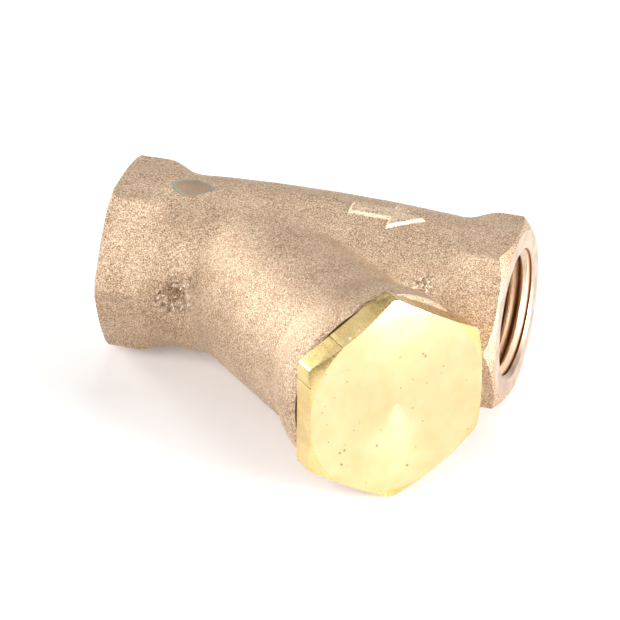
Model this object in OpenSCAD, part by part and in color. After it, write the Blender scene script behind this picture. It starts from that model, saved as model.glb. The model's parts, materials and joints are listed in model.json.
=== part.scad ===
// Y-pattern basket strainer with female threaded ports, hex collars and a hex screw cap.
// It lies on a table: +X is the flow direction and +Z is up.
// The run axis and the branch axis share one plane, which leans a few degrees about the run,
// because the strainer rests on the belly of its barrel and on one corner of its cap.

/* [Run] */
// Length of the run from port face to port face
run_l = 66.7; // [58:0.1:90]
// Width across the flats of the hexagonal port collars
port_af = 27.6; // [25:0.1:34]
// Width of a port collar along the run
collar_w = 9.2; // [6:0.1:12]
// Wall between the basket chamber and the outside of the run barrel
barrel_wall = 3.5; // [3:0.1:5]
// Amount by which the barrel narrows towards its ends
barrel_draft = 0.9; // [0:0.1:1]
// Length of the straight middle of the run barrel
barrel_straight = 22.2; // [10:0.1:30]

/* [Ports] */
// Radius of a port bore at the crests of its thread
port_r = 9.2; // [7.5:0.1:11.2]
// Depth of a port bore from the port face
port_depth = 12; // [10:0.1:15]
// Height of the port thread, cut outwards from the crests
port_thread_h = 1.4; // [0.8:0.1:1.5]
// Countersink beyond the roots of the port thread
port_lead = 0.3; // [0.1:0.1:0.5]
// Step from the port bore down to the flow passage
port_step = 1; // [0.5:0.1:2]
// Distance from the bottom of the inlet thread to the branch axis
seat_reach = 8.8; // [8:0.05:12]

/* [Branch] */
// Angle between the outlet end of the run and the branch
branch_angle = 45; // [42:1:50]
// Length of the branch from the run axis to its machined rim
branch_l = 45.55; // [38:0.05:56]
// Space between the basket's rings and the wall of its chamber
flow_gap = 2.2; // [1.5:0.1:3]
// Wall of the branch barrel around the chamber
branch_wall = 2.6; // [2:0.1:4]
// Step from the chamber out to the bore for the cap
cap_bore_step = 1; // [0.8:0.1:2]
// Wall of the branch head around the cap bore
head_wall = 3.7; // [3.5:0.1:5]
// Length of the straight part of the branch head
head_l = 3; // [2:0.1:6]
// Length of the taper from the head down to the branch barrel
head_taper = 7.5; // [3:0.1:10]
// Bevel around the machined rim
rim_bevel = 0.5; // [0.2:0.1:0.8]

/* [Seat] */
// Distance from the run axis to the outlet side of the seat web, along the branch
seat_l = 3.5; // [3:0.1:6]
// Thickness of the seat web
web_t = 3; // [2.5:0.1:4]
// Depth of the pocket that holds the basket's top ring
pocket_depth = 1.5; // [1:0.1:2]
// Clearance around the top ring in its pocket
pocket_fit = 0.1; // [0.05:0.01:0.2]

/* [Basket] */
// Outer radius of the perforated sleeve
sleeve_r = 8.9; // [7.4:0.1:10.7]
// Thickness of the sleeve's sheet
sheet_t = 0.6; // [0.5:0.1:0.8]
// Thickness of the wire cloth inside the sleeve
mesh_t = 0.35; // [0.25:0.05:0.5]
// Gap between nested layers of the basket
layer_fit = 0.05; // [0.02:0.01:0.1]
// Thickness of the bands and lips of the two rings
ring_t = 0.8; // [0.6:0.1:1]
// Thickness of the bands around the sleeve
band_t = 0.25; // [0.2:0.05:0.4]
// Height of a ring
ring_h = 3; // [2:0.1:4]
// Overlap of a ring's lip over the edge of the wire cloth
lip_cover = 0.3; // [0.1:0.1:0.8]
// Radius of the sleeve's holes
hole_r = 1.2; // [0.6:0.1:1.3]
// Number of sleeve holes around one row
holes_around = 10; // [8:1:14]
// Distance between rows of sleeve holes
hole_pitch = 4.6; // [3.2:0.1:6]
// Radius of the floor disc's holes
floor_hole_r = 0.9; // [0.5:0.1:1]
// Distance between the rings of holes in the floor disc
floor_pitch = 2.9; // [2.4:0.1:3]

/* [Cap] */
// Width of the cap's shoulder beyond its thread, up to the flats
cap_shoulder = 3; // [2.6:0.1:5]
// Thickness of the cap's hexagon
cap_t = 4.55; // [3.5:0.05:8]
// Chamfer depth at the corners of the cap's face
cap_chamfer = 1; // [0.5:0.1:1.5]
// Distance from the flats out to the edge of the turned face
cap_face_lip = 0.1; // [0:0.05:0.5]
// Turn of the cap's hexagon from corner-down
cap_clock = 1.6; // [0:0.1:5]
// Length of the cap's threaded shank
shank_l = 9; // [7:0.1:12]
// Radial clearance of the cap's shank in its bore
shank_fit = 0.06; // [0.02:0.01:0.1]
// Extra depth of the cap bore beyond the shank
bore_spare = 2.5; // [1:0.1:4]
// Depth of the recess in the shank that holds the end of the basket
recess_depth = 7.4; // [5:0.1:8]
// Radial clearance of the basket's end ring in the recess
recess_fit = 0.15; // [0.1:0.01:0.3]
// Gap between the end of the basket and the floor of the recess
recess_gap = 0.3; // [0.2:0.1:0.5]
// Thread relief under the hexagon, in depth
relief_d = 0.5; // [0.2:0.1:0.8]
// Thread relief under the hexagon, in length
relief_l = 1.4; // [1:0.1:2]

/* [Gasket] */
// Thickness of the gasket
gasket_t = 0.5; // [0.5:0.1:2]
// Width of the gasket's ring
gasket_w = 2.5; // [1:0.1:2.5]
// Gap between the gasket and the shank
gasket_fit = 0.3; // [0.1:0.1:0.5]

/* [Flow arrow] */
// Height of the raised arrow above the barrel
arrow_h = 0.45; // [0.2:0.05:0.8]
// Length of the arrow
arrow_l = 12; // [8:0.5:16]
// Width of the arrow's head
arrow_w = 7; // [4:0.5:8]
// Length of the arrow's head
arrow_head_l = 5.2; // [3:0.1:7]
// Width of the arrow's shaft
arrow_shaft_w = 3; // [1.5:0.1:4]
// Distance of the arrow's middle from the middle of the run, towards the outlet
arrow_x = 11.4; // [0:0.1:14]
// Turn of the arrow about the run from the top, towards the branch
arrow_turn = 4; // [0:1:20]

/* [Hidden] */
$fn = 96;
eps = 0.01;

bronze = "#c8a587";
brass = "#dcc47c";
steel = "#b9bcbf";
fibre = "#5d4a3a";

// Radii of the nested basket layers, from the sleeve inwards and outwards.
sleeve_in_r = sleeve_r - sheet_t;
mesh_r = sleeve_in_r - layer_fit;
mesh_in_r = mesh_r - mesh_t;
lip_r = mesh_in_r - lip_cover;
band_in_r = sleeve_r + layer_fit;
ring_r = band_in_r + band_t;

// Radii of the casting, which follow the basket.
pocket_r = ring_r + pocket_fit;
chamber_r = ring_r + flow_gap;
cap_bore_r = chamber_r + cap_bore_step;
branch_r = chamber_r + branch_wall;
head_r = cap_bore_r + head_wall;
barrel_r = chamber_r + barrel_wall;
barrel_end_r = barrel_r - barrel_draft;
passage_r = port_r - port_step;
mouth_r = port_r + port_thread_h + port_lead;
collar_r = port_af / 2 / cos(30);
core_r = (mouth_r + port_af / 2) / 2;

// Radii of the cap, which follow the bore.
shank_r = cap_bore_r - shank_fit;
recess_r = ring_r + recess_fit;
cap_af = 2 * (cap_bore_r + cap_shoulder);
cap_r = cap_af / 2 / cos(30);
cap_face_r = cap_af / 2 + cap_face_lip;
crown_drop = (pow(cap_r, 2) - pow(cap_face_r, 2) + pow(cap_chamfer, 2)) / (2 * cap_chamfer);
crown_r = sqrt(pow(cap_face_r, 2) + pow(crown_drop, 2));
gasket_in_r = shank_r + gasket_fit;
gasket_r = gasket_in_r + gasket_w;

// Stations along the branch, counted from the run axis.
pocket_s = seat_l - pocket_depth;
bore_s = branch_l - shank_l - bore_spare;
hex_s = branch_l + gasket_t;
face_s = hex_s + cap_t;
shank_s = hex_s - shank_l;
recess_s = shank_s + recess_depth;
basket_end_s = recess_s - recess_gap;
sleeve_s = pocket_s + ring_t;
floor_s = basket_end_s - ring_t - sheet_t;
sleeve_l = floor_s - sleeve_s;
branch_x = port_depth + seat_reach - run_l / 2;

// Rows of sleeve holes, centred between the two rings.
hole_rows = floor((sleeve_l - 2 * ring_h - 2 * hole_r) / hole_pitch) + 1;
hole_row_s = sleeve_s + (sleeve_l - (hole_rows - 1) * hole_pitch) / 2;

// The lean makes the barrel's belly, or broad collars, and the cap's lowest corner meet the table together.
rest_r = max(barrel_r, port_af / 2);
cap_low_z = cap_r * cos(cap_clock);
cap_low_y = hex_s * sin(branch_angle);
cap_low_reach = norm([cap_low_y, cap_low_z]);
lean = atan(cap_low_z / cap_low_y) - asin(rest_r / cap_low_reach);

// The origin lies under the middle of the whole strainer.
cap_reach_x = branch_x + face_s * cos(branch_angle) + cap_af / 2 * sin(branch_angle);
cap_reach_y = face_s * sin(branch_angle) + cap_af / 2 * cos(branch_angle);
centre_x = (max(run_l / 2, cap_reach_x) - run_l / 2) / 2;
centre_y = (collar_r - cap_reach_y) * cos(lean) / 2;

module lying() {
    translate([-centre_x, -centre_y, rest_r])
        rotate([-lean, 0, 0])
            children();
}

// Local +Z along the run, towards the outlet.
module along_run() {
    rotate([0, 90, 0])
        children();
}

// Local +Z along the branch, away from the run, and local +X towards the table.
module along_branch() {
    translate([branch_x, 0, 0])
        rotate([0, 0, -branch_angle])
            rotate([0, 90, 0])
                children();
}

module ring(outer_r, inner_r, length) {
    rotate_extrude()
        translate([inner_r, 0])
            square([outer_r - inner_r, length]);
}

module run_outside() {
    along_run() {
        rotate_extrude()
            polygon([
                [0, collar_w - run_l / 2],
                [barrel_end_r, collar_w - run_l / 2],
                [barrel_r, -barrel_straight / 2],
                [barrel_r, barrel_straight / 2],
                [barrel_end_r, run_l / 2 - collar_w],
                [0, run_l / 2 - collar_w]
            ]);
        cylinder(r = core_r, h = run_l - collar_w, center = true);
        for (end_z = [-run_l / 2, run_l / 2 - collar_w])
            translate([0, 0, end_z])
                rotate([0, 0, 30])
                    cylinder(r = collar_r, h = collar_w, $fn = 6);
    }
}

module branch_outside() {
    along_branch()
        rotate_extrude()
            polygon([
                [0, 0],
                [branch_r, 0],
                [branch_r, branch_l - head_l - head_taper],
                [head_r, branch_l - head_l],
                [head_r, branch_l - rim_bevel],
                [head_r - rim_bevel, branch_l],
                [0, branch_l]
            ]);
}

module flow_arrow() {
    intersection() {
        along_run()
            cylinder(r = barrel_r + arrow_h, h = run_l - 2 * collar_w, center = true);
        rotate([arrow_turn, 0, 0])
            translate([arrow_x - arrow_l / 2, 0, 0])
                linear_extrude(height = barrel_r + 2 * arrow_h)
                    polygon([
                        [0, -arrow_shaft_w / 2],
                        [arrow_l - arrow_head_l, -arrow_shaft_w / 2],
                        [arrow_l - arrow_head_l, -arrow_w / 2],
                        [arrow_l, 0],
                        [arrow_l - arrow_head_l, arrow_w / 2],
                        [arrow_l - arrow_head_l, arrow_shaft_w / 2],
                        [0, arrow_shaft_w / 2]
                    ]);
    }
}

// A port bore that opens towards -Z at z = 0.
module port_bore() {
    translate([0, 0, -eps])
        cylinder(r1 = mouth_r + eps, r2 = port_r, h = mouth_r - port_r + eps);
    translate([0, 0, -eps])
        cylinder(r = port_r, h = port_depth + eps);
}

// The flow passage on one side of the seat web: from one station along the branch to another.
module passage(from_s, to_s) {
    intersection() {
        along_run()
            cylinder(r = passage_r, h = run_l - port_depth, center = true);
        along_branch()
            translate([-run_l, -run_l, from_s])
                cube([2 * run_l, 2 * run_l, to_s - from_s]);
    }
}

module inside() {
    translate([-run_l / 2, 0, 0])
        along_run()
            port_bore();
    translate([run_l / 2, 0, 0])
        mirror([1, 0, 0])
            along_run()
                port_bore();
    passage(-run_l, seat_l - web_t);
    passage(seat_l, run_l);
    along_branch() {
        translate([0, 0, seat_l - web_t - eps])
            cylinder(r = lip_r, h = web_t);
        translate([0, 0, pocket_s])
            cylinder(r = pocket_r, h = pocket_depth + eps);
        translate([0, 0, seat_l])
            cylinder(r = chamber_r, h = branch_l);
        translate([0, 0, bore_s])
            cylinder(r = cap_bore_r, h = branch_l);
    }
}

module strainer_body() {
    color(bronze)
        lying()
            difference() {
                union() {
                    run_outside();
                    branch_outside();
                    flow_arrow();
                }
                inside();
            }
}

// The crown is a wide sphere through the edge of the turned face and the chamfered corners.
module cap_hexagon() {
    intersection() {
        rotate([0, 0, cap_clock])
            cylinder(r = cap_r, h = cap_t, $fn = 6);
        translate([0, 0, cap_t - crown_drop])
            sphere(r = crown_r);
    }
}

module cap() {
    color(brass)
        lying()
            along_branch() {
                translate([0, 0, hex_s])
                    cap_hexagon();
                translate([0, 0, shank_s])
                    rotate_extrude()
                        polygon([
                            [recess_r, 0],
                            [shank_r - relief_d, 0],
                            [shank_r, relief_d],
                            [shank_r, shank_l - relief_l],
                            [shank_r - relief_d, shank_l - relief_l],
                            [shank_r - relief_d, shank_l],
                            [0, shank_l],
                            [0, recess_depth],
                            [recess_r, recess_depth]
                        ]);
            }
}

module cap_gasket() {
    color(fibre)
        lying()
            along_branch()
                translate([0, 0, branch_l])
                    ring(gasket_r, gasket_in_r, gasket_t);
}

// Short drills through the wall; alternate rows are staggered by half a step.
module sleeve_holes() {
    for (row = [0 : hole_rows - 1])
        for (i = [0 : holes_around - 1])
            translate([0, 0, hole_row_s + row * hole_pitch])
                rotate([0, 0, (i + 0.25 + (row % 2) / 2) * 360 / holes_around])
                    translate([sleeve_in_r - sheet_t, 0, 0])
                        rotate([0, 90, 0])
                            cylinder(r = hole_r, h = 3 * sheet_t, $fn = 24);
}

module basket_sleeve() {
    color(steel)
        lying()
            along_branch()
                difference() {
                    translate([0, 0, sleeve_s])
                        ring(sleeve_r, sleeve_in_r, sleeve_l);
                    sleeve_holes();
                }
}

module basket_mesh() {
    color(steel)
        lying()
            along_branch()
                translate([0, 0, sleeve_s])
                    ring(mesh_r, mesh_in_r, sleeve_l);
}

// A ring with its lip at z = 0 and its band above.
module basket_ring() {
    ring(ring_r, lip_r, ring_t);
    ring(ring_r, band_in_r, ring_h);
}

module basket_top_ring() {
    color(steel)
        lying()
            along_branch()
                translate([0, 0, pocket_s])
                    basket_ring();
}

module basket_end_ring() {
    color(steel)
        lying()
            along_branch()
                translate([0, 0, basket_end_s])
                    mirror([0, 0, 1])
                        basket_ring();
}

module basket_floor() {
    color(steel)
        lying()
            along_branch()
                translate([0, 0, floor_s])
                    difference() {
                        cylinder(r = sleeve_r, h = sheet_t);
                        for (circle = [0 : 2])
                            for (i = [0 : max(1, 6 * circle) - 1])
                                rotate([0, 0, i * 360 / max(1, 6 * circle)])
                                    translate([circle * floor_pitch, 0, -eps])
                                        cylinder(r = floor_hole_r, h = 2 * sheet_t, $fn = 24);
                    }
}

strainer_body();
cap();
cap_gasket();
basket_sleeve();
basket_mesh();
basket_top_ring();
basket_end_ring();
basket_floor();
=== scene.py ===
import json
import math

import bmesh
import bpy
import numpy as np
from mathutils import Matrix, Vector, noise

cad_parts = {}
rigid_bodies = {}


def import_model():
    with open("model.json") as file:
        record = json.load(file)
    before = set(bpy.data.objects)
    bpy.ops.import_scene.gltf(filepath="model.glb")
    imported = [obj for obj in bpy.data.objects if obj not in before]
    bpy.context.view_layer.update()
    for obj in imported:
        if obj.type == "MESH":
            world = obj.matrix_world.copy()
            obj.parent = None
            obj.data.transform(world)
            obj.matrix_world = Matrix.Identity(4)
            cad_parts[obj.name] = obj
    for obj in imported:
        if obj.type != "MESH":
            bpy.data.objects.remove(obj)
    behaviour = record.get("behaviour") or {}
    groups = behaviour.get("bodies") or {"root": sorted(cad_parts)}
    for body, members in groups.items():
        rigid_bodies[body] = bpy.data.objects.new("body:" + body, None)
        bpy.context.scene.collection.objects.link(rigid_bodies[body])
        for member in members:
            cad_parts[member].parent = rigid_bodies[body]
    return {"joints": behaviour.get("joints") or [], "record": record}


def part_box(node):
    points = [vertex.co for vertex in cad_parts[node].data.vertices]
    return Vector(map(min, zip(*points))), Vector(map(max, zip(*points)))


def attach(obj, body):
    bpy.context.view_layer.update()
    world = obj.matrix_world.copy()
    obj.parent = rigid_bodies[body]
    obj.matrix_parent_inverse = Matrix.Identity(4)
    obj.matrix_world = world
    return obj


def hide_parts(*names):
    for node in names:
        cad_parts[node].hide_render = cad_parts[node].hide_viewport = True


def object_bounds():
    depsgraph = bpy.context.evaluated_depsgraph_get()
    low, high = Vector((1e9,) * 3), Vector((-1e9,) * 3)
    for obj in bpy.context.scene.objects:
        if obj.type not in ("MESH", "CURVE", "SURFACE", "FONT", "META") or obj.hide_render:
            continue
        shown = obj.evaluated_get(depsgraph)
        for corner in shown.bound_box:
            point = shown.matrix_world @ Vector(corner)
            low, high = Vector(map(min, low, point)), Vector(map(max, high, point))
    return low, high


for leftover in list(bpy.data.objects):
    bpy.data.objects.remove(leftover)
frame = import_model()
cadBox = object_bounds()

# Everything is made in millimetres, in the run's or the branch's own frame, and then placed.
# A capital S at the end of a name is a height along the branch, a capital R a radius.
mm = 0.001
mounts = {m["name"]: m for m in frame["record"]["mounts"]}
capTurn = next(j for j in frame["joints"] if j["name"] == "cap_turn")
inlet = Vector(mounts["inlet_port"]["pos_m"])
outlet = Vector(mounts["outlet_port"]["pos_m"])
alongRun = (outlet - inlet).normalized()
alongBranch = Vector(capTurn["axis"]).normalized()
upRun = alongBranch.cross(alongRun).normalized()
acrossRun = upRun.cross(alongRun)
acrossBranch = upRun.cross(alongBranch)
runMiddle = (inlet + outlet) / 2
hexPoint = Vector(capTurn["pos_m"])
hexReach = (hexPoint - runMiddle).dot(acrossRun) / alongBranch.dot(acrossRun)
branchFoot = hexPoint - alongBranch * hexReach


def axes(x, y, z):
    return Matrix((x, y, z)).transposed().to_4x4()


def placing(x, y, z, origin):
    return Matrix.Translation(origin) @ axes(x, y, z) @ Matrix.Scale(mm, 4)


def raised(height):
    return Matrix.Translation((0, 0, height))


runPlace = placing(alongRun, acrossRun, upRun, runMiddle)              # X along the run, branch towards -Y
branchPlace = placing(-upRun, acrossBranch, alongBranch, branchFoot)   # Z along the branch, X down
branchInRun = runPlace.inverted() @ branchPlace
towardsOutlet = Matrix.Rotation(math.radians(90), 4, "Y")              # turns a local Z to the run's +X
hexS = hexReach / mm
cadLow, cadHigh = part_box("strainer_body")
portFace = (cadHigh.x - cadLow.x) / 2 / mm                             # half the run's length


def everything(bm):
    return bm.verts[:] + bm.edges[:] + bm.faces[:]


def setFinish(bm, finish, beyondR=0):
    # the material of the faces whose middles lie beyond a radius
    for face in bm.faces:
        if not beyondR or math.hypot(*face.calc_center_median().xy) > beyondR:
            face.material_index = finish


def lathe(points, finish=0, steps=96):
    # (radius, height) points turned about Z; the ends lie on the axis or meet
    bm = bmesh.new()
    verts = [bm.verts.new((r, 0, z)) for r, z in points]
    edges = [bm.edges.new(pair) for pair in zip(verts, verts[1:])]
    bmesh.ops.spin(bm, geom=verts + edges, cent=(0, 0, 0), axis=(0, 0, 1),
                   angle=2 * math.pi, steps=steps, use_merge=True)
    bmesh.ops.remove_doubles(bm, verts=bm.verts, dist=1e-4)
    bmesh.ops.recalc_face_normals(bm, faces=bm.faces)
    setFinish(bm, finish)
    return bm


def addPrism(bm, sides, lowR, highR, depth, matrix):
    bmesh.ops.create_cone(bm, cap_ends=True, segments=sides, radius1=lowR, radius2=highR, depth=depth,
                          matrix=matrix)


def hexCorner(flats):
    return flats / 2 / math.cos(math.radians(30))


def closeEnds(bm):
    edges = [e for e in bm.edges if e.is_boundary]
    bmesh.ops.holes_fill(bm, edges=edges, sides=0)


def trim(bm, point, normal, dist=1e-5):
    # drops what lies beyond the plane
    bmesh.ops.bisect_plane(bm, geom=everything(bm), dist=dist, plane_co=point, plane_no=normal,
                           clear_outer=True)


def cutOff(bm, point, normal):
    trim(bm, point, normal)
    closeEnds(bm)


def threadRod(crest, root, pitch, length, finish, taper=0):
    # a closed rod with a helical thread from z = 0 to z = length
    steps, spareTurns, halfAngle, axisR = 72, 3, math.radians(30), 1
    bm = bmesh.new()
    flank = abs(root - crest) * math.tan(halfAngle)
    flat = (pitch - 2 * flank) / 2
    heights = (0, flat, flat + flank, 2 * flat + flank, pitch)
    radii = (crest, crest, root, root, crest)
    verts = [bm.verts.new((r, 0, z - 2 * pitch)) for r, z in zip(radii, heights)]
    edges = [bm.edges.new(pair) for pair in zip(verts, verts[1:])]
    turns = math.ceil(length / pitch) + spareTurns
    bmesh.ops.spin(bm, geom=verts + edges, cent=(0, 0, 0), axis=(0, 0, 1), dvec=(0, 0, pitch / steps),
                   angle=2 * math.pi * turns, steps=steps * turns, use_merge=False)
    bmesh.ops.remove_doubles(bm, verts=bm.verts, dist=1e-3)
    cutOff(bm, (0, 0, length), (0, 0, 1))
    cutOff(bm, (0, 0, 0), (0, 0, -1))
    for v in bm.verts:
        away = math.hypot(v.co.x, v.co.y)
        if away > axisR:
            grown = 1 + (length / 2 - v.co.z) * taper / away
            v.co.x *= grown
            v.co.y *= grown
    bmesh.ops.recalc_face_normals(bm, faces=bm.faces)
    setFinish(bm, finish)
    return bm


def moved(bm, matrix):
    bmesh.ops.transform(bm, matrix=matrix, verts=bm.verts)
    if matrix.determinant() < 0:
        bmesh.ops.reverse_faces(bm, faces=bm.faces)
    return bm


def newObject(name, data):
    obj = bpy.data.objects.new(name, data)
    bpy.context.scene.collection.objects.link(obj)
    return obj


def toObject(name, bm):
    mesh = bpy.data.meshes.new(name)
    bm.to_mesh(mesh)
    bm.free()
    return newObject(name, mesh)


def applied(obj):
    # bakes the object's modifiers into its mesh
    graph = bpy.context.evaluated_depsgraph_get()
    mesh = bpy.data.meshes.new_from_object(obj.evaluated_get(graph))
    obj.modifiers.clear()
    old = obj.data
    obj.data = mesh
    bpy.data.meshes.remove(old)


def carve(obj, bm, operation="DIFFERENCE"):
    tool = toObject("tool", bm)
    for m in obj.data.materials:
        tool.data.materials.append(m)
    step = obj.modifiers.new("carve", "BOOLEAN")
    step.operation = operation
    step.solver = "MANIFOLD"
    step.object = tool
    applied(obj)
    bpy.data.objects.remove(tool)


def finishPiece(obj, place, body, node, crease=32):
    obj.data.transform(place)
    obj.data.shade_smooth()
    obj.data.set_sharp_from_angle(angle=math.radians(crease))
    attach(obj, body)
    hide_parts(node)
    print(obj.name, "has", sum(len(p.vertices) - 2 for p in obj.data.polygons), "triangles")


def tones(**look):
    # display colours out of 255, as linear light
    def linear(c):
        return c / 12.92 if c < 0.04045 else ((c + 0.055) / 1.055) ** 2.4
    return {name: tuple(linear(c / 255) for c in colour) + (1,) for name, colour in look.items()}


class Painter:
    # short names for the nodes of one tree
    def __init__(self, tree):
        self.tree = tree

    def node(self, kind, inputs=None, **settings):
        made = self.tree.nodes.new(kind)
        for key, value in settings.items():
            setattr(made, key, value)
        for key, value in (inputs or {}).items():
            self.feed(made, key, value)
        return made

    def feed(self, made, key, value):
        if isinstance(value, bpy.types.NodeSocket):
            self.tree.links.new(value, made.inputs[key])
        else:
            made.inputs[key].default_value = value

    def maths(self, operation, value, *others):
        # one operation over all the values, from left to right
        for other in others or (0.0,):
            value = self.node("ShaderNodeMath", {0: value, 1: other}, operation=operation).outputs[0]
        return value

    def times(self, *values):
        return self.maths("MULTIPLY", *values)

    def blend(self, factor, a, b):
        return self.node("ShaderNodeMix", {0: factor, 6: a, 7: b}, data_type="RGBA").outputs[2]

    def span(self, value, low, high, toLow=0.0, toHigh=1.0, smooth=False):
        made = self.node("ShaderNodeMapRange", {0: value, 1: low, 2: high, 3: toLow, 4: toHigh})
        if smooth:
            made.interpolation_type = "SMOOTHSTEP"
        return made.outputs[0]

    def noise(self, vector, scale, detail=2.0, rough=0.5):
        made = self.node("ShaderNodeTexNoise", {"Vector": vector, "Scale": scale, "Detail": detail,
                                                "Roughness": rough})
        return made.outputs["Fac"]

    def cells(self, vector, scale):
        # distance from the nearest seed, and that seed's random number
        made = self.node("ShaderNodeTexVoronoi", {"Vector": vector, "Scale": scale})
        chance = self.node("ShaderNodeSeparateColor", {0: made.outputs["Color"]}).outputs[0]
        return made.outputs["Distance"], chance

    def split(self, vector):
        return tuple(self.node("ShaderNodeSeparateXYZ", {0: vector}).outputs)

    def localPoint(self, place):
        # the surface point in millimetres in a piece's own frame
        spot, turn, size = place.inverted().decompose()
        coords = self.node("ShaderNodeTexCoord")
        made = self.node("ShaderNodeMapping", {"Vector": coords.outputs["Object"], "Location": spot,
                                               "Rotation": turn.to_euler(), "Scale": size})
        return made.outputs[0]

    def stretched(self, point, tall):
        # noise on this point is drawn out along Z when tall is under 1, and around it when over
        return self.node("ShaderNodeMapping", {"Vector": point, "Scale": (1.0, 1.0, tall)}).outputs[0]

    def grouped(self, tree, point, **settings):
        return self.node("ShaderNodeGroup", {"Point": point, **settings}, node_tree=tree).outputs

    def bump(self, height, distance):
        return self.node("ShaderNodeBump", {"Height": height, "Distance": distance}).outputs[0]


def newMaterial(name, **settings):
    material = bpy.data.materials.new(name)
    material.use_nodes = True
    shader = material.node_tree.nodes["Principled BSDF"]
    for key, value in settings.items():
        shader.inputs[key].default_value = value
    return material, Painter(material.node_tree), shader


def newGroup(name, numbers, results):
    # a node group that takes a point and some named numbers
    group = bpy.data.node_groups.new(name, "ShaderNodeTree")
    group.interface.new_socket("Point", in_out="INPUT", socket_type="NodeSocketVector")
    for title, value in numbers.items():
        socket = group.interface.new_socket(title, in_out="INPUT", socket_type="NodeSocketFloat")
        socket.default_value = value
    for title in results:
        group.interface.new_socket(title, in_out="OUTPUT", socket_type="NodeSocketFloat")
    p = Painter(group)
    return group, p, p.node("NodeGroupInput").outputs, p.node("NodeGroupOutput")


def makeGrainGroup():
    # skin of a sand casting: sand grains, slow mottling, and painted glints where scattered grains catch the
    # light
    spec = dict(coarser=0.3, fineTone=0.76, coarseTone=0.12, slowTone=0.12, seeds=0.8, speck=(0.3, 0.12),
                fineHeight=0.7, coarseHeight=0.5)
    group, p, given, out = newGroup("castGrain", dict(Grain=3.0, Speckle=0.5), ("Tone", "Glint", "Height"))
    point = given["Point"]
    fine = p.noise(point, given["Grain"], rough=0.6)
    coarse = p.noise(point, p.times(given["Grain"], spec["coarser"]))
    slow = p.noise(point, scale=0.16)
    p.feed(out, "Tone", p.maths("ADD", p.times(fine, spec["fineTone"]), p.times(coarse, spec["coarseTone"]),
                                p.times(slow, spec["slowTone"])))
    # painted highlight: a share of the cells become bright glints, standing in for grains that catch the
    # light
    distance, chance = p.cells(point, p.times(given["Grain"], spec["seeds"]))
    chosen = p.maths("GREATER_THAN", chance, p.maths("SUBTRACT", 1.0, given["Speckle"]))
    p.feed(out, "Glint", p.times(p.span(distance, *spec["speck"]), chosen))
    p.feed(out, "Height", p.maths("ADD", p.times(fine, spec["fineHeight"]),
                                  p.times(coarse, spec["coarseHeight"])))
    return group


def makeToolGroup():
    # fine marks left by a turning tool, as rings about local Z or along it
    group, p, given, out = newGroup("toolMarks", dict(Pitch=0.1, Facing=1.0), ("Tone", "Height", "Radius"))
    x, y, z = p.split(given["Point"])
    flatPoint = p.node("ShaderNodeCombineXYZ", {0: x, 1: y}).outputs[0]
    radius = p.node("ShaderNodeVectorMath", {0: flatPoint}, operation="LENGTH").outputs["Value"]
    along = p.maths("ADD", p.times(radius, given["Facing"]),
                    p.times(z, p.maths("SUBTRACT", 1.0, given["Facing"])))
    line = p.node("ShaderNodeCombineXYZ", {0: p.maths("DIVIDE", along, given["Pitch"])}).outputs[0]
    marks = p.noise(line, scale=1.0, detail=3.0, rough=0.6)
    p.feed(out, "Tone", marks)
    p.feed(out, "Height", marks)
    p.feed(out, "Radius", radius)
    return group


grainGroup = makeGrainGroup()
toolGroup = makeToolGroup()


bodySpec = dict(
    flats=27.6, collarWidth=9.2, collarSoft=0.55, shoulderFoot=24.0, shoulderR=14.0, shoulderRise=0.76,
    shoulderSoft=1.2, neckBack=3, neckSoft=0.5, runSoft=1.4, footSoft=1.0,
    barrel=14.9, barrelDrop=0.9, branch=14.0, head=16.1, taperFrom=34.2, taperTo=42.4,
    voxel=0.45, spare=2.5, rim=45.55, rimBevel=0.8,
    arrowHeight=0.55, arrowLength=12.0, arrowWidth=7.0, arrowHead=5.2, arrowShaft=3.0, arrowMiddle=11.4,
    arrowTurn=4.0)

# pitted patches of the barrel: place along the run, bearing, half length, half width and depth
pitSpots = (
    dict(x=-20.3, turn=0.7, long=2.6, wide=3.0, deep=1.0),
    dict(x=20.6, turn=36.5, long=1.6, wide=0.9, deep=0.7),
)


def surfaceSpot(p, point, x, turn, long, wide, ragged):
    # distance from a spot on the barrel in units of its size: 0 at its middle, 1 at its edge
    spec = dict(barrelR=14.5, pointed=0.3, roundness=1.5)
    runX, side, up = p.split(point)
    bearing = p.maths("ARCTAN2", up, p.times(side, -1.0))
    across = p.times(p.maths("SUBTRACT", bearing, math.radians(turn)), spec["barrelR"] / wide)
    along = p.times(p.maths("SUBTRACT", runX, x), 1 / long)
    narrower = p.maths("SUBTRACT", 1.0, p.times(along, spec["pointed"]))
    across = p.maths("DIVIDE", p.maths("ABSOLUTE", across), narrower)
    along = p.maths("ABSOLUTE", along)
    reach = p.maths("ADD", p.maths("POWER", along, spec["roundness"]),
                    p.maths("POWER", across, spec["roundness"]))
    uneven = p.maths("SUBTRACT", p.noise(point, scale=1.2), 0.5)
    return p.maths("ADD", reach, p.times(uneven, ragged))


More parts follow.
